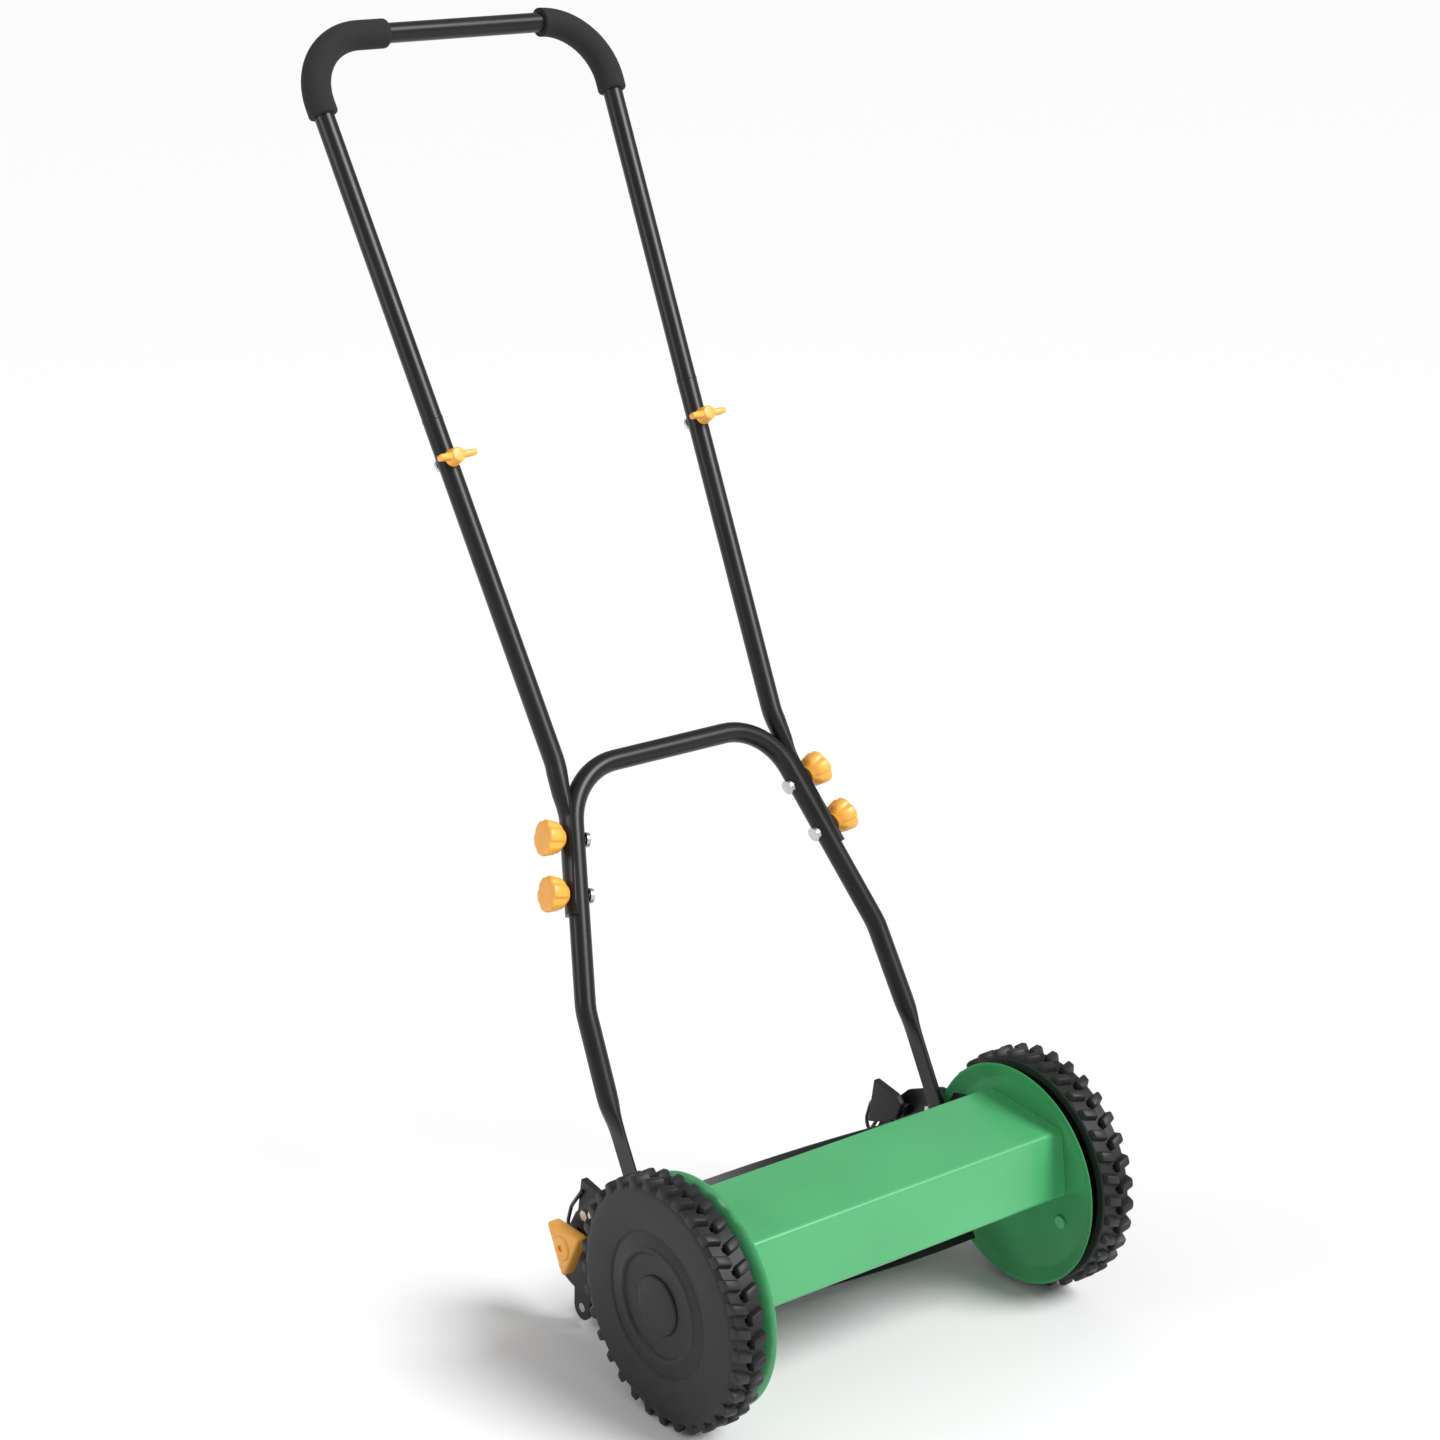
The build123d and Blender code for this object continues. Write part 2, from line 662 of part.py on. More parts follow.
def make_upper_handle():
    """Inverted U of tube with a reduced spigot at each foot."""
    spigot = 60.0
    with BuildPart() as handle:
        with BuildLine(HANDLE) as path:
            arch = [(upper_x(MID_TOP), MID_TOP), TOP_CORNER]
            arch += [(-x, s) for x, s in reversed(arch)]
            bar = FilletPolyline(*arch, radius=TOP_CORNER_R)
        sweep(tube_face(bar, TUBE_R, TUBE_R - TUBE_WALL - 0.1), path=path.wires()[0])
        for side in SIDES.values():
            foot = MID_TOP - spigot * UPPER_STEP.Y
            seat = handle_plane(side * upper_x(foot), foot, side * UPPER_STEP.X, UPPER_STEP.Y)
            extrude(ring(seat, TUBE_R - TUBE_WALL - RUN, 6.0), amount=spigot + 10)
            extrude(ring(wing_plane(side, -12.0), BOLT_R), amount=24, mode=Mode.SUBTRACT)
    return handle.part


def make_grip(side):
    """Foam sleeve round one top corner of the handle."""
    with BuildPart() as grip:
        with BuildLine(HANDLE) as path:
            foot = (side * upper_x(GRIP_FOOT_S), GRIP_FOOT_S)
            corner = (side * TOP_CORNER[0], TOP_CORNER[1])
            end = (side * GRIP_ENDS[side], TOP_CORNER[1])
            axis = FilletPolyline(foot, corner, end, radius=TOP_CORNER_R)
        sweep(tube_face(axis, GRIP_R, TUBE_R), path=path.wires()[0])
    return grip.part


def make_clamp_bolts():
    """Bolts from the inner side of each lower arm out to the clamp knobs."""
    with BuildPart() as bolts:
        for side in SIDES.values():
            for s in CLAMP_S:
                extrude(ring(clamp_plane(side, s, -TUBE_R - 3.6), 6.5), amount=3.6)
                extrude(ring(clamp_plane(side, s, -TUBE_R), BOLT_R), amount=TUBE_R + 30.0)
    return bolts.part


def make_clamp_knob(side, s):
    """Fluted round knob on a clamp bolt."""
    with BuildPart() as knob:
        with BuildSketch(clamp_plane(side, s, CLAMP_KNOB_BASE)):
            Circle(CLAMP_KNOB_R)
            with PolarLocations(CLAMP_KNOB_R + 1.5, 8):
                Circle(4.0, mode=Mode.SUBTRACT)
        extrude(amount=CLAMP_KNOB_LENGTH)
        bore = ring(clamp_plane(side, s, CLAMP_KNOB_BASE), BOLT_R + RUN)
        extrude(bore, amount=CLAMP_KNOB_LENGTH - 4.0, mode=Mode.SUBTRACT)
    return knob.part


def make_wing_bolts():
    """Bolts through the joint of the middle and upper tubes."""
    with BuildPart() as bolts:
        for side in SIDES.values():
            extrude(ring(wing_plane(side, -TUBE_R - 3.4), 6.0), amount=3.4)
            extrude(ring(wing_plane(side, -TUBE_R), BOLT_R), amount=2 * TUBE_R + 12.0)
    return bolts.part


def make_wing_nut(side):
    """Wing nut on the front of a tube."""
    with BuildPart() as nut:
        extrude(ring(wing_plane(side, TUBE_R + 0.3), 8.0), amount=13.0)
        with BuildSketch(wing_plane(side, TUBE_R + 3.3)):
            SlotOverall(38.0, 8.0)
        extrude(amount=9.0)
        extrude(ring(wing_plane(side, TUBE_R + 0.3), BOLT_R + RUN), amount=13.0, mode=Mode.SUBTRACT)
    return nut.part


def make_pivot_bolts():
    """Shouldered bolts that the lower handle turns on, with their spacers."""
    with BuildPart() as bolts:
        for side in SIDES.values():
            head = across(side * (ARM_IN - 4.0), PIVOT_Y, PIVOT_Z)
            extrude(hexagon(head, 8.0), amount=side * 3.7)
            extrude(ring(head, 4.0), amount=side * (BRACKET_IN - ARM_IN + 4.0))
            spacer = across(side * (ARM_IN + ARM_THICK + 0.3), PIVOT_Y, PIVOT_Z)
            extrude(ring(spacer, 8.0), amount=side * (BRACKET_IN - ARM_IN - ARM_THICK - 0.3))
            end = across(side * BRACKET_IN, PIVOT_Y, PIVOT_Z)
            extrude(ring(end, BOLT_R), amount=side * 3.0)
    return bolts.part


def make_stop_pins():
    """Pins on the rear brackets that the handle leans back against."""
    with BuildPart() as pins:
        for side in SIDES.values():
            pin = across(side * ARM_IN, AXLE_Y + STOP_PIN[0], STOP_PIN[1])
            extrude(ring(pin, BOLT_R), amount=side * (WEB_IN - ARM_IN))
    return pins.part


# ---- write every piece ---------------------------------------------------------------------------
PAIRED = {
    "side_plate": make_side_plate,
    "axle_stub": make_axle_stub,
    "wheel": make_wheel,
    "wheel_bush": make_wheel_bush,
    "hub_cap": make_hub_cap,
    "reel_bearing": make_reel_bearing,
    "pinion": make_pinion,
    "rear_bracket": make_rear_bracket,
    "bag_hook": make_bag_hook,
    "bag_hook_wire": make_hook_wire,
    "roller_carrier": make_roller_carrier,
    "height_knob": make_height_knob,
    "middle_tube": make_middle_tube,
    "grip": make_grip,
    "wing_nut": make_wing_nut,
}
SINGLE = {
    "front_cover": make_cover,
    "cover_screws": make_cover_screws,
    "plate_rivets": make_plate_rivets,
    "axle_clips": make_axle_clips,
    "reel_shaft": make_reel_shaft,
    "reel_blades": make_blades,
    "reel_spiders": make_spiders,
    "ratchet_keys": make_ratchet_keys,
    "bed_bar": make_bed_bar,
    "bed_knife": make_bed_knife,
    "bed_knife_screws": make_bed_knife_screws,
    "bed_bar_bolts": make_bed_bar_bolts,
    "bracket_bolts": make_bracket_bolts,
    "bag_hook_bolts": make_hook_bolts,
    "height_bolts": make_height_bolts,
    "roller": make_roller,
    "roller_shaft": make_roller_shaft,
    "lower_handle": make_lower_handle,
    "upper_handle": make_upper_handle,
    "clamp_bolts": make_clamp_bolts,
    "wing_bolts": make_wing_bolts,
    "handle_pivot_bolts": make_pivot_bolts,
    "handle_stop_pins": make_stop_pins,
}

for name, make in SINGLE.items():
    save(make(), name)
for name, make in PAIRED.items():
    for hand, side in SIDES.items():
        save(make(side), f"{name}_{hand}")
for hand, side in SIDES.items():
    for level, s in zip(("lower", "upper"), CLAMP_S):
        save(make_clamp_knob(side, s), f"clamp_knob_{hand}_{level}")
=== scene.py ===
"""Looks of a push reel mower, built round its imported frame.

Everything is in metres in the frame's own axes: +Z up, -Y the way the mower is pushed, +X its left.
"""
import json
import logging
from dataclasses import dataclass, field
from enum import Enum
from math import cos, pi, radians, sin, tan, tau
from typing import Iterable

import bmesh
import bpy
from mathutils import Matrix, Vector


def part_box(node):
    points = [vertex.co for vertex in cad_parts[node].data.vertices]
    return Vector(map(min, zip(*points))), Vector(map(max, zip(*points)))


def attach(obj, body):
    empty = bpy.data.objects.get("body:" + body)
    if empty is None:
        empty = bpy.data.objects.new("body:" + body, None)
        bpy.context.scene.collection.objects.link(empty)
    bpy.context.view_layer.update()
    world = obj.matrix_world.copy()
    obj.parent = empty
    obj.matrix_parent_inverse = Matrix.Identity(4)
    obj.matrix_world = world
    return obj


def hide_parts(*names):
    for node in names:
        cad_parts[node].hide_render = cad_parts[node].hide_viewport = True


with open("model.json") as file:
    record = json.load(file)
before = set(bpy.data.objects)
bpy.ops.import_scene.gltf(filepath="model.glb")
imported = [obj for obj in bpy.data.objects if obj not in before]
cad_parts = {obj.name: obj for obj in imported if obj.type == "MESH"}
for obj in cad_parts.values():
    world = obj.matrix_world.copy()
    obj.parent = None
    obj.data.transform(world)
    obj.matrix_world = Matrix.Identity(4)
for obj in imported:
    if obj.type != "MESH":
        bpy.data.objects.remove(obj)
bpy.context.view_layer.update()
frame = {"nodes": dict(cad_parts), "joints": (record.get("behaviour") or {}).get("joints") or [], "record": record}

LOG = logging.getLogger("reel_mower")
MM = 0.001
Shape = bmesh.types.BMesh


class Side(Enum):
    """The two sides of the mower, with the sign of their X."""

    LEFT = 1
    RIGHT = -1

    @property
    def word(self) -> str:
        """Name of the side as the frame's nodes spell it."""
        return self.name.lower()


# ---- finishes ------------------------------------------------------------------------------------
@dataclass(frozen=True)
class Finish:
    """A surface finish with mottled colour, uneven gloss and a fine grain in relief.

    Attributes:
        slot: the record's material slot it stands for.
        colour: linear base colour.
        roughness: middle value of the gloss.
        metallic: 1 for bare metal.
        coat: weight of a clear gloss layer.
        shine: strength of the plain reflection, 0.5 for a usual plastic or paint.
        mottle: how far the colour drifts, as a part of one.
        mottle_scale: blotches per metre.
        grain_scale: grains per metre.
        grain_depth: height of the grain in metres.
        stretch: scale of the grain along X, Y and Z, for brushed or drawn surfaces.
        worn: painted highlight, how much convex edges are lightened.
    """

    slot: str
    colour: tuple[float, float, float]
    roughness: float
    metallic: float = 0.0
    coat: float = 0.0
    shine: float = 0.5
    mottle: float = 0.12
    mottle_scale: float = 14.0
    grain_scale: float = 900.0
    grain_depth: float = 0.00004
    stretch: tuple[float, float, float] = (1.0, 1.0, 1.0)
    worn: float = 0.0

    def noise(self, tree: bpy.types.NodeTree, scale: float, detail: float) -> bpy.types.Node:
        """Noise on the object's own coordinates.

        Args:
            tree: the material's node tree.
            scale: pattern repeats per metre.
            detail: octaves of the noise.

        Returns:
            The noise node.
        """
        place = tree.nodes.new("ShaderNodeTexCoord")
        turn = tree.nodes.new("ShaderNodeMapping")
        turn.inputs["Scale"].default_value = self.stretch
        noise = tree.nodes.new("ShaderNodeTexNoise")
        noise.inputs["Scale"].default_value = scale
        noise.inputs["Detail"].default_value = detail
        tree.links.new(place.outputs["Object"], turn.inputs["Vector"])
        tree.links.new(turn.outputs["Vector"], noise.inputs["Vector"])
        return noise

    def tint(self, factor: float) -> tuple[float, float, float, float]:
        """The base colour made lighter or darker by a factor."""
        return tuple(min(1.0, part * factor) for part in self.colour) + (1.0,)

    def material(self) -> bpy.types.Material:
        """Builds the node material.

        Returns:
            The finished material, named after its slot.
        """
        surface = bpy.data.materials.new(self.slot)
        surface.use_nodes = True
        tree = surface.node_tree
        shader = tree.nodes["Principled BSDF"]
        shader.inputs["Metallic"].default_value = self.metallic
        shader.inputs["Coat Weight"].default_value = self.coat
        shader.inputs["Specular IOR Level"].default_value = self.shine
        shader.inputs["Coat Roughness"].default_value = 0.18
        blotches = self.noise(tree, self.mottle_scale, 4.0)
        ramp = tree.nodes.new("ShaderNodeValToRGB")
        ramp.color_ramp.elements[0].position = 0.3
        ramp.color_ramp.elements[0].color = self.tint(1.0 - self.mottle)
        ramp.color_ramp.elements[1].position = 0.7
        ramp.color_ramp.elements[1].color = self.tint(1.0 + self.mottle)
        tree.links.new(blotches.outputs["Fac"], ramp.inputs["Fac"])
        colour = ramp.outputs["Color"]
        # Painted highlight: convex edges get a lighter base colour.
        if self.worn:
            colour = self.wear(tree, colour)
        tree.links.new(colour, shader.inputs["Base Color"])
        gloss = tree.nodes.new("ShaderNodeMapRange")
        gloss.inputs["To Min"].default_value = self.roughness * 0.85
        gloss.inputs["To Max"].default_value = min(1.0, self.roughness * 1.15)
        tree.links.new(blotches.outputs["Fac"], gloss.inputs["Value"])
        tree.links.new(gloss.outputs["Result"], shader.inputs["Roughness"])
        grain = self.noise(tree, self.grain_scale, 2.0)
        bump = tree.nodes.new("ShaderNodeBump")
        bump.inputs["Strength"].default_value = 0.6
        bump.inputs["Distance"].default_value = self.grain_depth
        tree.links.new(grain.outputs["Fac"], bump.inputs["Height"])
        tree.links.new(bump.outputs["Normal"], shader.inputs["Normal"])
        return surface

    def wear(self, tree: bpy.types.NodeTree, colour: bpy.types.NodeSocket) -> bpy.types.NodeSocket:
        """Paints a highlight on convex edges by lightening their colour.

        Args:
            tree: the material's node tree.
            colour: the colour to lighten.

        Returns:
            The mixed colour.
        """
        shape = tree.nodes.new("ShaderNodeNewGeometry")
        # Mask of the painted highlight, taken from how convex the surface is.
        edge = tree.nodes.new("ShaderNodeMapRange")
        edge.inputs["From Min"].default_value = 0.52
        edge.inputs["From Max"].default_value = 0.62
        edge.inputs["To Max"].default_value = self.worn
        mix = tree.nodes.new("ShaderNodeMix")
        mix.data_type = "RGBA"
        tree.links.new(shape.outputs["Pointiness"], edge.inputs["Value"])
        tree.links.new(edge.outputs["Result"], mix.inputs[0])
        tree.links.new(colour, mix.inputs[6])
        # Lighter colour of the painted edge highlight.
        mix.inputs[7].default_value = self.tint(1.9)
        return mix.outputs[2]


# A finish that lightens convex edges paints a highlight on them.
FINISHES = [
    Finish("green_paint", (0.066, 0.372, 0.142), 0.34, coat=0.2, mottle=0.07, mottle_scale=9.0,
           grain_scale=420.0, grain_depth=0.00006, worn=0.5),
    Finish("zinc_steel", (0.56, 0.57, 0.58), 0.36, metallic=1.0, grain_scale=1400.0, mottle_scale=90.0),
    Finish("blade_steel", (0.5, 0.5, 0.52), 0.3, metallic=1.0, stretch=(0.05, 1.0, 1.0)),
    Finish("black_paint", (0.011, 0.011, 0.012), 0.42, shine=0.35, mottle=0.2, worn=0.25),
    Finish("tube_paint", (0.009, 0.009, 0.0095), 0.33, shine=0.32, mottle=0.18, mottle_scale=22.0,
           grain_scale=1300.0, grain_depth=0.00003),
    Finish("wheel_plastic", (0.0125, 0.0125, 0.013), 0.5, shine=0.35, mottle=0.16, mottle_scale=30.0,
           grain_scale=1700.0, grain_depth=0.00006, worn=0.3),
    Finish("black_plastic", (0.011, 0.011, 0.011), 0.5, shine=0.35, grain_scale=1500.0, grain_depth=0.00005),
    Finish("black_wire", (0.02, 0.02, 0.021), 0.35, coat=0.4),
    Finish("bearing_plastic", (0.06, 0.06, 0.062), 0.45),
    Finish("orange_plastic", (0.9, 0.4, 0.055), 0.4, coat=0.1, mottle=0.06, mottle_scale=40.0,
           grain_scale=1100.0, worn=0.25),
    Finish("grip_foam", (0.011, 0.011, 0.011), 0.86, mottle=0.25, mottle_scale=260.0,
           grain_scale=1500.0, grain_depth=0.00035),
]


@dataclass
class Paintshop:
    """Makes each finish once and gives it to pieces and to the frame's own nodes."""

    materials: dict[str, bpy.types.Material] = field(default_factory=dict)

    def __post_init__(self) -> None:
        """Builds every finish."""
        for finish in FINISHES:
            self.materials[finish.slot] = finish.material()

    def dress_nodes(self) -> None:
        """Gives every carried-over node the finish of its slot."""
        for entry in frame["record"]["subparts"]:
            mesh = frame["nodes"][entry["node"]].data
            mesh.materials.clear()
            mesh.materials.append(self.materials[entry["material_slot"]])

    def add(self, name: str, shape: Shape, body: str, slot: str, stands_for: Iterable[str] = (),
            crease: float = 32.0, seams: bool = True) -> bpy.types.Object:
        """Turns a finished shape into a piece that rides on a body.

        Args:
            name: the piece's name.
            shape: its mesh, in place; it is freed.
            body: the body that carries it.
            slot: the material slot of its finish.
            stands_for: frame nodes that it replaces.
            crease: angle in degrees above which an edge stays sharp.
            seams: whether to weld doubles and point the faces outwards.

        Returns:
            The new object.
        """
        if seams:
            bmesh.ops.remove_doubles(shape, verts=shape.verts, dist=1e-6)
            bmesh.ops.recalc_face_normals(shape, faces=shape.faces)
        mesh = bpy.data.meshes.new(name)
        shape.to_mesh(mesh)
        shape.free()
        mesh.shade_smooth()
        mesh.set_sharp_from_angle(angle=radians(crease))
        mesh.materials.append(self.materials[slot])
        piece = bpy.data.objects.new(name, mesh)
        bpy.context.scene.collection.objects.link(piece)
        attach(piece, body)
        if stands_for:
            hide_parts(*stands_for)
        LOG.info("%s: %d faces on %s", name, len(mesh.polygons), body)
        return piece


# ---- shaping tools -------------------------------------------------------------------------------
def pull(shape: Shape, edges: list, move: Vector) -> list:
    """Extrudes edges and moves the new ones.

    Args:
        shape: the mesh.
        edges: the edges to extrude.
        move: how far the new edges go.

    Returns:
        The new edges.
    """
    made = bmesh.ops.extrude_edge_only(shape, edges=edges)["geom"]
    fresh = [part for part in made if isinstance(part, bmesh.types.BMVert)]
    bmesh.ops.translate(shape, verts=fresh, vec=move)
    known = set(fresh)
    return [part for part in made if isinstance(part, bmesh.types.BMEdge) and set(part.verts) <= known]


def bent_tube(points: list[Vector], bends: list[float], radius: float, sides: int = 28,
              rounding: float = 0.0) -> Shape:
    """Closed round bar along straight runs joined by round bends.

    Args:
        points: ends and corners of the centre line.
        bends: bend radius at each corner.
        radius: radius of the bar.
        sides: faces round the bar.
        rounding: radius of the rounded end edges.

    Returns:
        The bar's mesh.
    """
    shape = bmesh.new()
    start = (points[1] - points[0]).normalized()
    hoop = bmesh.ops.create_circle(shape, cap_ends=False, radius=radius, segments=sides)
    place = Matrix.Translation(points[0]) @ start.to_track_quat("Z", "Y").to_matrix().to_4x4()
    bmesh.ops.transform(shape, matrix=place, verts=hoop["verts"])
    edges = list(shape.edges)
    first = list(edges)
    here = points[0]
    for corner, (before, at, after) in enumerate(zip(points, points[1:], points[2:])):
        coming, going = (at - before).normalized(), (after - at).normalized()
        turn = coming.angle(going)
        reach = bends[corner] * tan(turn / 2)
        edges = pull(shape, edges, at - coming * reach - here)
        axis = coming.cross(going).normalized()
        centre = at - coming * reach + axis.cross(coming) * bends[corner]
        swept = bmesh.ops.spin(shape, geom=edges, cent=centre, axis=axis, angle=turn,
                               steps=max(4, int(turn / radians(5))), use_duplicate=False)
        edges = [part for part in swept["geom_last"] if isinstance(part, bmesh.types.BMEdge)]
        here = at + going * reach
    edges = pull(shape, edges, points[-1] - here)
    bmesh.ops.edgeloop_fill(shape, edges=first)
    bmesh.ops.edgeloop_fill(shape, edges=edges)
    if rounding:
        bmesh.ops.bevel(shape, geom=first + edges, offset=rounding, affect="EDGES", segments=4,
                        profile=0.5, material=-1)
    return shape


def lathe(profile: list[tuple[float, float]], centre: Vector, steps: int) -> Shape:
    """Spins a closed outline about a line along X.

    Args:
        profile: (x, radius) corners of the outline, in order.
        centre: a point on the line; its x is added to the profile's.
        steps: faces round the turn.

    Returns:
        The turned mesh.
    """
    shape = bmesh.new()
    corners = [shape.verts.new((centre.x + x, centre.y, centre.z + radius)) for x, radius in profile]
    edges = [shape.edges.new(pair) for pair in zip(corners, corners[1:] + corners[:1])]
    bmesh.ops.spin(shape, geom=corners + edges, cent=centre, axis=(1, 0, 0), angle=tau, steps=steps,
                   use_merge=True, use_duplicate=False)
    bmesh.ops.remove_doubles(shape, verts=shape.verts, dist=1e-6)
    return shape


def block(shape: Shape, size: tuple[float, float, float], place: Matrix, bevel: float) -> None:
    """Adds a box with rounded edges.

    Args:
        shape: the mesh it joins.
        size: lengths along its own axes.
        place: where its centre goes.
        bevel: radius of its edges.
    """
    part = bmesh.new()
    bmesh.ops.create_cube(part, size=1.0, matrix=Matrix.Diagonal((*size, 1.0)))
    bmesh.ops.bevel(part, geom=list(part.edges), offset=bevel, affect="EDGES", segments=2,
                    profile=0.5, material=-1)
    join(shape, part, place)


def join(shape: Shape, part: Shape, place: Matrix) -> None:
    """Moves a part into place and adds it to a mesh.

    Args:
        shape: the mesh that grows.
        part: the part; it is freed.
        place: the part's transform.
    """
    bmesh.ops.transform(part, matrix=place, verts=part.verts)
    carrier = bpy.data.meshes.new("carrier")
    part.to_mesh(carrier)
    part.free()
    shape.from_mesh(carrier)
    bpy.data.meshes.remove(carrier)


def slab(outline: list[tuple[float, float]], x_low: float, x_high: float, corner: float,
         edge: float) -> Shape:
    """Plate with rounded corners standing across X.

    Args:
        outline: (y, z) corners in order.
        x_low: its lower face.
        x_high: its upper face.
        corner: radius of the outline's corners.
        edge: radius of the rim.

    Returns:
        The plate's mesh.
    """
    shape = bmesh.new()
    shape.faces.new([shape.verts.new((x_low, y, z)) for y, z in outline])
    bmesh.ops.bevel(shape, geom=list(shape.verts), offset=corner, affect="VERTICES", segments=5,
                    profile=0.5, material=-1)
    face = max(shape.faces, key=lambda one: one.calc_area())
    made = bmesh.ops.extrude_face_region(shape, geom=[face])["geom"]
    fresh = [part for part in made if isinstance(part, bmesh.types.BMVert)]
    bmesh.ops.translate(shape, verts=fresh, vec=(x_high - x_low, 0, 0))
    bmesh.ops.recalc_face_normals(shape, faces=shape.faces)
    rims = [one for one in shape.edges if one.is_manifold and one.calc_face_angle(0) > 1.2]
    bmesh.ops.bevel(shape, geom=rims, offset=edge, affect="EDGES", segments=3, profile=0.5, material=-1)
    return shape


# ---- wheels --------------------------------------------------------------------------------------
@dataclass
class Wheel:
    """One moulded wheel with a knobbly tread, and its hub cap."""

    shop: Paintshop
    side: Side
    lugs: int = 33
    tread_radius: float = 99.0 * MM
    lug_height: float = 6.0 * MM
    phase: float = 6.1
    turns: int = 132

    def place(self, x: float) -> Vector:
        """A point on the axle line, x metres out from the wheel's inner edge."""
        low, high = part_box(f"wheel_{self.side.word}")
        inner = low.x if self.side is Side.LEFT else high.x
        return Vector((inner + self.side.value * x, (low.y + high.y) / 2, (low.z + high.z) / 2))

    def outline(self) -> list[tuple[float, float]]:
        """(x, radius) corners of the wheel's section, x out from its inner edge."""
        rows = [
            (0, 91), (0, 97.6), (1.2, 99), (14, 99), (18, 99), (27.2, 99), (29.4, 97.4), (30.6, 94.6),
            (31, 91.5), (31, 63), (30.7, 61.6), (29.8, 60.6), (29.8, 59.4), (30.4, 58.4),
            (30.4, 50.2), (31.2, 48.6), (31.8, 47.4), (31.8, 45.2), (31.0, 43.8), (29.6, 42.6),
            (29.2, 27.6), (29.0, 13), (25, 13), (25, 16), (25, 91),
        ]
        return [(self.side.value * x * MM, r * MM) for x, r in rows]

    def build(self) -> None:
        """Builds the wheel and its cap."""
        shape = lathe(self.outline(), self.place(0), self.turns)
        self.sink_pits(shape)
        bmesh.ops.recalc_face_normals(shape, faces=shape.faces)
        for row in (0, 1):
            for lug in range(self.lugs):
                angle = radians(self.phase + (1 - row) * 180 / self.lugs + lug * 360 / self.lugs)
                self.add_lug(shape, row, angle)
        word = self.side.word
        self.shop.add(f"moulded_wheel_{word}", shape, f"wheel_{word}", "wheel_plastic", [f"wheel_{word}"],
                      seams=False)
        self.add_cap()

    def sink_pits(self, shape: Shape) -> None:
        """Sinks a row of dark moulding holes along the middle of the tread."""
        axle = self.place(16 * MM)
        middle = []
        for one in shape.faces:
            spot = one.calc_center_median() - axle
            if abs(spot.x) < 1 * MM and Vector((0, spot.y, spot.z)).length > 98 * MM:
                angle = (Vector((spot.y, spot.z)).angle_signed(Vector((1, 0))) - radians(self.phase)) % tau
                step = angle / (tau / self.turns)
                if int(step) % 2 == 0:
                    middle.append(one)
        bmesh.ops.inset_individual(shape, faces=middle, thickness=0.5 * MM)
        for one in middle:
            centre = one.calc_center_median() - axle
            inwards = Vector((0, -centre.y, -centre.z)).normalized() * 5 * MM
            made = bmesh.ops.extrude_face_region(shape, geom=[one])["geom"]
            fresh = [part for part in made if isinstance(part, bmesh.types.BMVert)]
            bmesh.ops.translate(shape, verts=fresh, vec=inwards)
        bmesh.ops.delete(shape, geom=[one for one in middle if one.is_valid], context="FACES_ONLY")

    def add_lug(self, shape: Shape, row: int, angle: float) -> None:
        """Adds one skewed lug.

        Args:
            shape: the wheel's mesh.
            row: 0 for the inner row, 1 for the outer.
            angle: its place round the wheel.
        """
        length, width, height = 14.6 * MM, 11.4 * MM, self.lug_height + 4 * MM
        part = bmesh.new()
        bmesh.ops.create_cube(part, size=1.0, matrix=Matrix.Diagonal((length, width, height, 1.0)))
        skew = 0.3 * (1 if row else -1)
        for corner in part.verts:
            if corner.co.z > 0:
                corner.co.y *= 0.66
                corner.co.x *= 0.86
            corner.co.y += corner.co.x * skew * self.side.value
        bmesh.ops.bevel(part, geom=list(part.edges), offset=1.7 * MM, affect="EDGES", segments=2,
                        profile=0.5, material=-1)
        across = (8.4 + row * 15.0) * MM
        out = self.tread_radius + self.lug_height - height / 2
        turn = Matrix.Rotation(angle - pi / 2, 4, "X")
        lift = Matrix.Translation((0, 0, out))
        join(shape, part, Matrix.Translation(self.place(across)) @ turn @ lift)

    def add_cap(self) -> None:
        """Domed cap over the axle's end."""
        rows = [(27.5, 0), (27.5, 22), (29.1, 25), (30.2, 25), (31.4, 24), (32, 21.6), (32.2, 12), (32.3, 0)]
        profile = [(self.side.value * x * MM, max(r, 0.02) * MM) for x, r in rows]
        shape = lathe(profile, self.place(0), 72)
        word = self.side.word
        self.shop.add(f"domed_cap_{word}", shape, f"wheel_{word}", "wheel_plastic", [f"hub_cap_{word}"])


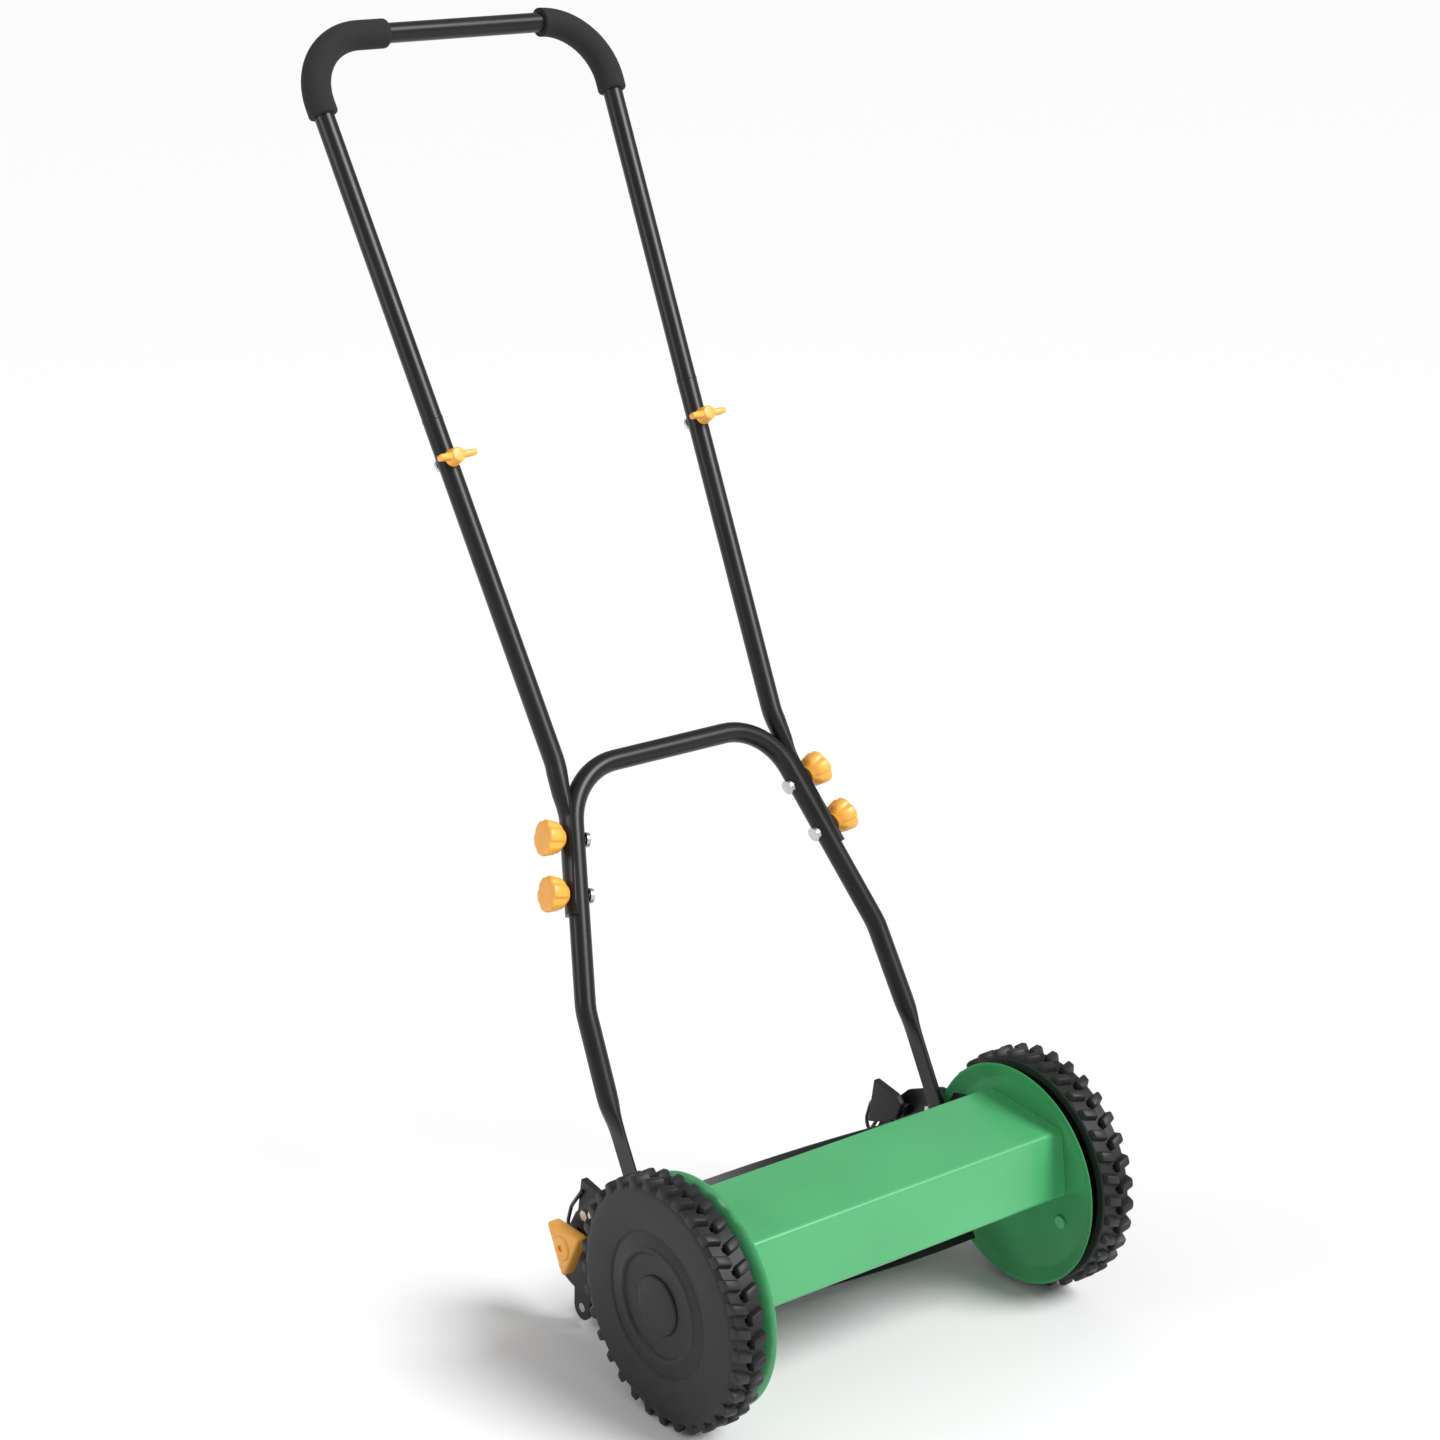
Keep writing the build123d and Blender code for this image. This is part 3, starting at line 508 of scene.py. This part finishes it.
# ---- side plates and cover -------------------------------------------------------------------------
@dataclass
class Housing:
    """Pressed side plates and the folded cover between them."""

    shop: Paintshop
    sheet: float = 1.2 * MM
    fold_radius: float = 3.2 * MM

    def build(self) -> None:
        """Builds both plates and the cover."""
        for side in Side:
            self.add_plate(side)
        self.add_cover()

    def add_plate(self, side: Side) -> None:
        """Dished plate with a rolled rim.

        Args:
            side: which side of the mower.
        """
        low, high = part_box(f"side_plate_{side.word}")
        outer = high.x if side is Side.LEFT else low.x
        centre = Vector((outer, (low.y + high.y) / 2, (low.z + high.z) / 2))
        edge = (high.y - low.y) / 2 / MM
        rows = [(0, 8.2), (0, 84), (0.6, 86.2), (4.2, edge - 3.4), (7.2, edge - 0.4), (7.8, edge),
                (7.4, edge - 1.6), (5.2, edge - 4.6), (2.0, 85.4), (1.2, 83.4), (1.2, 8.2)]
        profile = [(-side.value * x * MM, r * MM) for x, r in rows]
        shape = lathe(profile, centre, 144)
        name = f"pressed_plate_{side.word}"
        self.shop.add(name, shape, "frame", "green_paint", [f"side_plate_{side.word}"], crease=50)

    def add_cover(self) -> None:
        """Folded cover with a rounded crease, hemmed front and back, and side flanges."""
        low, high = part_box("front_cover")
        axle_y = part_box("wheel_left")[0].y / 2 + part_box("wheel_left")[1].y / 2
        corners = [(34.5, 168.6), (37.9, 171.5), (-52.1, 164.4), (-60.2, 107.0), (-56.6, 105.2)]
        shape = bmesh.new()
        line = [shape.verts.new((low.x, axle_y + y * MM, z * MM)) for y, z in corners]
        edges = [shape.edges.new(pair) for pair in zip(line, line[1:])]
        steps = 24
        run = Vector(((high.x - low.x) / steps, 0, 0))
        for _ in range(steps):
            edges = pull(shape, edges, run)
        creases = [one for one in shape.edges
                   if len(one.link_faces) == 2 and one.calc_face_angle(0) > 0.3]
        bmesh.ops.bevel(shape, geom=creases, offset=self.fold_radius, affect="EDGES", segments=4,
                        profile=0.5, material=-1, clamp_overlap=True)
        bmesh.ops.recalc_face_normals(shape, faces=shape.faces)
        bmesh.ops.solidify(shape, geom=shape.faces, thickness=self.sheet)
        for side in Side:
            wall = side.value * (high.x - self.sheet * 0.6)
            tab = slab([(axle_y - 42 * MM, 0.149), (axle_y + 18 * MM, 0.149), (axle_y + 20 * MM, 0.168),
                        (axle_y - 44 * MM, 0.163)], wall - self.sheet / 2, wall + self.sheet / 2,
                       4 * MM, 0.2 * MM)
            join(shape, tab, Matrix.Identity(4))
        self.shop.add("folded_cover", shape, "frame", "green_paint", ["front_cover"], crease=40)


# ---- handle --------------------------------------------------------------------------------------
@dataclass
class Handle:
    """Tubes, grips, knobs and wing nuts of the push handle.

    Places on the handle are (x, s): x across, s up its slope from the pivot line, in millimetres.
    """

    shop: Paintshop
    tube: float = 9.0
    grip: float = 13.0
    flat_end: tuple[float, float] = (163.0, 97.0)
    low_bend: tuple[float, float] = (158.0, 185.0)
    low_corner: tuple[float, float] = (104.9, 381.0)
    mid_bend: tuple[float, float] = (117.0, 388.0)
    top_corner: tuple[float, float] = (156.8, 1049.0)
    mid_top: float = 700.0
    low_corner_bend: float = 60.0
    top_corner_bend: float = 57.0
    clamps: tuple[float, float] = (278.0, 324.0)
    wing: float = 662.0
    grip_foot: float = 978.0
    foot: tuple[float, float] = (162.2, -6.0)
    foot_middle: float = 162.0
    foot_half_thick: float = 2.0
    pressed_to: float = 72.0
    round_from: float = 112.0
    saddle_radius: float = 12.0
    saddle_end: float = 344.0
    saddle_fade: float = 28.0

    def __post_init__(self) -> None:
        """Reads the pivot and the handle's lean from the frame's joints."""
        joints = {joint["name"]: joint for joint in frame["joints"]}
        self.pivot = Vector(joints["handle_fold"]["pos_m"])
        self.front = Vector(joints["wing_nut_left_turn"]["axis"])
        self.up = Vector((0, self.front.z, -self.front.y))

    def at(self, x: float, s: float, n: float = 0.0) -> Vector:
        """World point of a place on the handle, n millimetres in front of its plane."""
        return self.pivot + Vector((x * MM, 0, 0)) + self.up * s * MM + self.front * n * MM

    def arm_x(self, s: float) -> float:
        """Half-width of the lower arms at a height above their bend."""
        slope = (self.low_corner[0] - self.low_bend[0]) / (self.low_corner[1] - self.low_bend[1])
        return self.low_bend[0] + (s - self.low_bend[1]) * slope

    def upper_x(self, s: float) -> float:
        """Half-width of the upper tubes at a height above their bend."""
        slope = (self.top_corner[0] - self.mid_bend[0]) / (self.top_corner[1] - self.mid_bend[1])
        return self.mid_bend[0] + (s - self.mid_bend[1]) * slope

    def build(self) -> None:
        """Builds every piece of the handle."""
        self.add_lower()
        self.add_upper()
        for side in Side:
            self.add_middle(side)
            self.add_grip(side)
            self.add_wing_nut(side)
            for s, level in zip(self.clamps, ("lower", "upper")):
                self.add_clamp_knob(side, s, level)

    def arch(self, half: list[tuple[float, float]]) -> list[Vector]:
        """Centre line of a symmetric arch from its left half."""
        places = half + [(-x, s) for x, s in reversed(half)]
        return [self.at(x, s) for x, s in places]

    def add_lower(self) -> None:
        """Lower arch, pressed flat at its feet."""
        line = self.arch([self.foot, self.flat_end, self.low_bend, self.low_corner])
        bends = [40 * MM, 60 * MM, self.low_corner_bend * MM]
        bends += bends[::-1]
        shape = bent_tube(line, bends, self.tube * MM)
        self.split_feet(shape)
        self.press_feet(shape)
        self.shop.add("lower_arch", shape, "handle", "tube_paint", ["lower_handle"], crease=50)

    def split_feet(self, shape: Shape) -> None:
        """Cuts rings round both feet so that they can be pressed."""
        for s in (8, 40, 66, 74, 82, 90, 98, 106, 114):
            cut = list(shape.verts) + list(shape.edges) + list(shape.faces)
            bmesh.ops.bisect_plane(shape, geom=cut, dist=1e-6, plane_co=self.at(0, s), plane_no=self.up)

    def press_feet(self, shape: Shape) -> None:
        """Presses the tube's feet flat against the pivot plates."""
        thick, start, end, middle = self.foot_half_thick, self.pressed_to, self.round_from, self.foot_middle
        for spot in shape.verts:
            offset = spot.co - self.pivot
            s = offset.dot(self.up) / MM
            if s > end:
                continue
            side = 1 if spot.co.x > 0 else -1
            amount = 1 - max(0.0, min(1.0, (s - start) / (end - start)))
            amount = amount * amount * (3 - 2 * amount)
            x = spot.co.x / MM - side * middle
            flat = max(-thick, min(thick, x))
            spot.co.x = (side * middle + x + (flat - x) * amount) * MM

    def add_middle(self, side: Side) -> None:
        """Middle tube with its lower end pressed round the arm."""
        word = side.word
        sign = side.value
        low = self.clamps[0] - 15
        line = [(self.arm_x(low) + 7.4, low), (self.arm_x(342) + 9.5, 342), self.mid_bend,
                (self.upper_x(self.mid_top), self.mid_top)]
        shape = bent_tube([self.at(sign * x, s) for x, s in line], [90 * MM, 60 * MM], self.tube * MM)
        for s in (266, 280, 300, 320, 334, 344, 354, 364):
            cut = list(shape.verts) + list(shape.edges) + list(shape.faces)
            bmesh.ops.bisect_plane(shape, geom=cut, dist=1e-6, plane_co=self.at(0, s), plane_no=self.up)
        for spot in shape.verts:
            offset = spot.co - self.pivot
            s = offset.dot(self.up) / MM
            if s > self.saddle_end + self.saddle_fade:
                continue
            n = offset.dot(self.front) / MM
            x = sign * spot.co.x / MM - self.arm_x(s)
            amount = 1 - max(0.0, min(1.0, (s - self.saddle_end) / self.saddle_fade))
            reach = (x * x + n * n) ** 0.5
            if reach > self.saddle_radius and x > 0:
                shrink = 1 - amount * (1 - self.saddle_radius / reach)
                spot.co = self.at(sign * (self.arm_x(s) + x * shrink), s, n * shrink * (1 + 0.12 * amount))
        self.shop.add(f"bent_tube_{word}", shape, "handle", "tube_paint", [f"middle_tube_{word}"], crease=50)
        seam = [(self.upper_x(s), s) for s in (self.mid_top - 1.6, self.mid_top + 1.2)]
        band = bent_tube([self.at(sign * x, s) for x, s in seam], [], (self.tube + 0.25) * MM,
                         rounding=0.4 * MM)
        self.shop.add(f"tube_collar_{word}", band, "handle", "tube_paint")

    def add_upper(self) -> None:
        """Upper arch with its crossbar."""
        foot = (self.upper_x(self.mid_top - 12), self.mid_top - 12)
        line = self.arch([foot, self.top_corner])
        shape = bent_tube(line, [self.top_corner_bend * MM] * 2, (self.tube - 0.1) * MM)
        self.shop.add("upper_arch", shape, "handle", "tube_paint", ["upper_handle"], crease=50)

    def add_grip(self, side: Side) -> None:
        """Foam sleeve round a top corner, with soft rounded ends."""
        low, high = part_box(f"grip_{side.word}")
        end = (low.x if side is Side.LEFT else high.x) / MM
        sign = side.value
        foot = (sign * self.upper_x(self.grip_foot), self.grip_foot)
        line = [self.at(*foot), self.at(sign * self.top_corner[0], self.top_corner[1]),
                self.at(end, self.top_corner[1])]
        shape = bent_tube(line, [self.top_corner_bend * MM], self.grip * MM, sides=48, rounding=2.6 * MM)
        piece = self.shop.add(f"foam_grip_{side.word}", shape, "handle", "grip_foam",
                              [f"grip_{side.word}"], crease=70)

    def turned(self, origin: Vector, axis: Vector) -> Matrix:
        """Transform that takes +Z to an axis at a point."""
        return Matrix.Translation(origin) @ axis.to_track_quat("Z", "Y").to_matrix().to_4x4()

    def add_clamp_knob(self, side: Side, s: float, level: str) -> None:
        """Lobed knob with a tapered neck.

        Args:
            side: which arm.
            s: height of its bolt.
            level: lower or upper, as in its node's name.
        """
        name = f"clamp_knob_{side.word}_{level}"
        joint = next(one for one in frame["joints"] if one["child"] == name)
        axis = Vector(joint["axis"])
        seat = self.at(side.value * self.arm_x(s), s) + axis * 12.6 * MM
        stations = [(0.0, 8.0, 0.0), (1.6, 9.0, 0.0), (4.2, 12.0, 0.35), (7.0, 14.0, 0.8), (16.2, 15.6, 0.9),
                    (17.8, 15.2, 0.8), (18.7, 14.0, 0.6), (19.0, 12.2, 0.3), (18.9, 5.0, 0.0)]
        self.add_lobed(name, f"lobed_{name}", self.turned(seat, axis), stations, 6)

    def add_lobed(self, body: str, name: str, place: Matrix,
                  stations: list[tuple[float, float, float]], lobes: int) -> None:
        """Knob with rounded lobes.

        Args:
            body: its body, which has the name of the node it replaces.
            name: the piece's name.
            place: transform of its seat.
            stations: (height, radius, depth of the flutes) up the knob.
            lobes: number of lobes.
        """
        shape = bmesh.new()
        bmesh.ops.create_circle(shape, cap_ends=False, radius=MM, segments=lobes * 12)
        edges = list(shape.edges)
        first = list(edges)
        height = 0.0
        for rise, radius, flute in stations:
            edges = pull(shape, edges, Vector((0, 0, (rise - height) * MM))) if rise else edges
            height = rise
            for spot in {corner for one in edges for corner in one.verts}:
                flat = Vector((spot.co.x, spot.co.y, 0))
                dip = max(0.0, cos(flat.xy.angle_signed(Vector((1, 0))) * lobes)) ** 2
                flat = flat.normalized() * (radius - 2.0 * flute * dip) * MM
                spot.co.x, spot.co.y = flat.x, flat.y
        bmesh.ops.edgeloop_fill(shape, edges=first)
        bmesh.ops.edgeloop_fill(shape, edges=edges)
        bmesh.ops.transform(shape, matrix=place, verts=shape.verts)
        self.shop.add(name, shape, body, "orange_plastic", [body], crease=38)

    def add_wing_nut(self, side: Side) -> None:
        """Plastic wing nut with two swept wings."""
        name = f"wing_nut_{side.word}"
        seat = self.at(side.value * self.upper_x(self.wing), self.wing, self.tube + 0.3)
        place = self.turned(seat, self.front)
        shape = bmesh.new()
        hub = bmesh.new()
        bmesh.ops.create_cone(hub, cap_ends=True, segments=32, radius1=8.0 * MM, radius2=6.2 * MM,
                              depth=12.6 * MM, matrix=Matrix.Translation((0, 0, 6.3 * MM)))
        rims = [one for one in hub.edges if one.calc_face_angle(0) > 1.0]
        bmesh.ops.bevel(hub, geom=rims, offset=1.0 * MM, affect="EDGES", segments=3, profile=0.5,
                        material=-1)
        join(shape, hub, place)
        for hand in (1, -1):
            wing = bmesh.new()
            bmesh.ops.create_cube(wing, size=1.0, matrix=Matrix.Diagonal((14 * MM, 6 * MM, 9 * MM, 1)))
            for corner in wing.verts:
                if corner.co.x * hand > 0:
                    corner.co.z = corner.co.z * 0.9 + 1.6 * MM
                    corner.co.y *= 0.85
            bmesh.ops.bevel(wing, geom=list(wing.edges), offset=1.8 * MM, affect="EDGES", segments=3,
                            profile=0.5, material=-1)
            join(shape, wing, place @ Matrix.Translation((hand * 11.5 * MM, 0, 7.2 * MM)))
        self.shop.add(f"winged_nut_{side.word}", shape, name, "orange_plastic", [name], seams=False)


# ---- rear gear -----------------------------------------------------------------------------------
@dataclass
class RearGear:
    """Grass-box hooks, their wire keepers and the height knobs."""

    shop: Paintshop
    wing_reach: float = 29 * MM

    def build(self) -> None:
        """Builds the pieces of both sides."""
        for side in Side:
            self.add_hook(side)
            self.add_wire(side)
            self.add_height_knob(side)

    def add_hook(self, side: Side) -> None:
        """Fin-shaped hook with a foot."""
        low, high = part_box(f"bag_hook_{side.word}")
        fin_thick = 6 * MM
        inner, outer = (low.x, high.x) if side is Side.LEFT else (high.x, low.x)
        fin = inner + side.value * fin_thick
        points = [(0, 0.73), (0.18, 0.89), (0.84, 1.0), (1.0, 0.0), (0.62, 0.13), (0.16, 0.36)]
        size = high - low
        outline = [(low.y + y * size.y, low.z + z * size.z) for y, z in points]
        shape = slab(outline, min(inner, fin), max(inner, fin), 2.6 * MM, 1.0 * MM)
        foot = Matrix.Translation(((fin + outer) / 2, low.y + 0.27 * size.y, low.z + 0.53 * size.z))
        block(shape, (abs(outer - fin) + 1 * MM, 19 * MM, 8.6 * MM), foot, 1.0 * MM)
        name = f"hook_fin_{side.word}"
        self.shop.add(name, shape, "frame", "black_plastic", [f"bag_hook_{side.word}"], seams=False)

    def add_wire(self, side: Side) -> None:
        """Bowed wire keeper beside the hook."""
        low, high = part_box(f"bag_hook_wire_{side.word}")
        size = high - low
        x = (low.x + high.x) / 2
        places = [(0.05, 0.96), (0.62, 0.58), (0.95, 0.06), (0.66, 0.03), (0.08, 0.5)]
        line = [Vector((x, low.y + y * size.y, low.z + z * size.z)) for y, z in places]
        shape = bent_tube(line, [14 * MM, 14 * MM, 4 * MM], 1.7 * MM, sides=14,
                          rounding=0.5 * MM)
        self.shop.add(f"wire_keeper_{side.word}", shape, "frame", "black_wire",
                      [f"bag_hook_wire_{side.word}"])

    def add_height_knob(self, side: Side) -> None:
        """Three-winged knob with a round hub."""
        name = f"height_knob_{side.word}"
        low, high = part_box(name)
        joint = next(one for one in frame["joints"] if one["child"] == name)
        centre = Vector(joint["pos_m"])
        seat = low.x if side is Side.LEFT else high.x
        shape = lathe([(side.value * x * MM, r * MM) for x, r in
                       [(0, 3.2), (0, 8.5), (1, 9.5), (16, 11), (17.4, 9.8), (18, 7), (18, 3.2)]],
                      Vector((seat, centre.y, centre.z)), 48)
        corners = [(centre.y + self.wing_reach * cos(angle), centre.z + self.wing_reach * sin(angle))
                   for angle in (radians(turn) for turn in (35, 145, 270))]
        face = sorted((seat + side.value * 4 * MM, seat + side.value * 16 * MM))
        join(shape, slab(corners, *face, 6 * MM, 2.2 * MM), Matrix.Identity(4))
        self.shop.add(f"winged_{name}", shape, name, "orange_plastic", [name], seams=False)


# ---- studio --------------------------------------------------------------------------------------
@dataclass
class Studio:
    """Pale floor, soft lights and the camera."""

    axle_y: float
    distance: float = 2.616
    azimuth: float = -36.8
    elevation: float = 17.54
    target: tuple[float, float, float] = (0.0, 0.28415, 0.5205)
    lens: float = 75.9
    shift: tuple[float, float] = (0.0436, -0.0345)
    sky: float = 0.42
    floor_half: float = 30.0
    sun: float = 3.3
    sun_spread: float = 28.0
    sun_from: tuple[float, float, float] = (0.40, -0.75, 0.85)

    def build(self) -> None:
        """Sets up floor, world, lights and camera."""
        self.add_floor()
        self.add_world()
        self.add_sun()
        self.add_light("strip", (-2.2, 0.6, 1.5), 0.9, 14.0)
        self.add_camera()
        bpy.context.scene.view_settings.view_transform = "Standard"

    def add_floor(self) -> None:
        """Wide pale floor."""
        shape = bmesh.new()
        bmesh.ops.create_grid(shape, x_segments=1, y_segments=1, size=self.floor_half)
        mesh = bpy.data.meshes.new("floor")
        shape.to_mesh(mesh)
        shape.free()
        paint = bpy.data.materials.new("studio_floor")
        paint.use_nodes = True
        shader = paint.node_tree.nodes["Principled BSDF"]
        shader.inputs["Base Color"].default_value = (0.88, 0.88, 0.88, 1)
        shader.inputs["Roughness"].default_value = 0.7
        mesh.materials.append(paint)
        floor = bpy.data.objects.new("floor", mesh)
        bpy.context.scene.collection.objects.link(floor)

    def add_world(self) -> None:
        """Even surroundings that look white but light the mower softly."""
        world = bpy.data.worlds.new("surroundings")
        world.use_nodes = True
        tree = world.node_tree
        sky = tree.nodes["Background"]
        sky.inputs["Color"].default_value = (1, 1, 1, 1)
        path = tree.nodes.new("ShaderNodeLightPath")
        strength = tree.nodes.new("ShaderNodeMapRange")
        strength.inputs["To Min"].default_value = self.sky
        strength.inputs["To Max"].default_value = 1.0
        tree.links.new(path.outputs["Is Camera Ray"], strength.inputs["Value"])
        tree.links.new(strength.outputs["Result"], sky.inputs["Strength"])
        bpy.context.scene.world = world

    def add_sun(self) -> None:
        """Wide soft main light from the front left of the mower."""
        lamp = bpy.data.lights.new("main", "SUN")
        lamp.energy = self.sun
        lamp.angle = radians(self.sun_spread)
        light = bpy.data.objects.new("main", lamp)
        light.rotation_euler = (-Vector(self.sun_from)).to_track_quat("-Z", "Y").to_euler()
        bpy.context.scene.collection.objects.link(light)

    def add_light(self, name: str, place: tuple[float, float, float], size: float, power: float) -> None:
        """Adds a square soft light that faces the mower.

        Args:
            name: its name.
            place: where it stands.
            size: length of its side.
            power: its strength in watts.
        """
        lamp = bpy.data.lights.new(name, "AREA")
        lamp.size = size
        lamp.energy = power
        light = bpy.data.objects.new(name, lamp)
        light.location = place
        aim = Vector((0, 0, 0.4)) - Vector(place)
        light.rotation_euler = aim.to_track_quat("-Z", "Y").to_euler()
        bpy.context.scene.collection.objects.link(light)

    def add_camera(self) -> None:
        """Camera on a sphere round its target."""
        lens = bpy.data.cameras.new("camera")
        lens.lens = self.lens
        lens.sensor_width = 36.0
        lens.shift_x, lens.shift_y = self.shift
        camera = bpy.data.objects.new("camera", lens)
        around, up = radians(self.azimuth), radians(self.elevation)
        look = Vector((-sin(around) * cos(up), cos(around) * cos(up), -sin(up)))
        target = Vector(self.target) + Vector((0, self.axle_y, 0))
        camera.location = target - look * self.distance
        camera.rotation_euler = look.to_track_quat("-Z", "Y").to_euler()
        bpy.context.scene.collection.objects.link(camera)
        bpy.context.scene.camera = camera


def main() -> None:
    """Builds the mower's looks and the studio in order."""
    logging.basicConfig(level=logging.INFO, format="%(name)s %(message)s")
    shop = Paintshop()
    shop.dress_nodes()
    low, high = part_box("wheel_left")
    for side in Side:
        Wheel(shop, side).build()
    Housing(shop).build()
    Handle(shop).build()
    RearGear(shop).build()
    Studio(axle_y=(low.y + high.y) / 2).build()


if __name__ == "__main__":
    main()
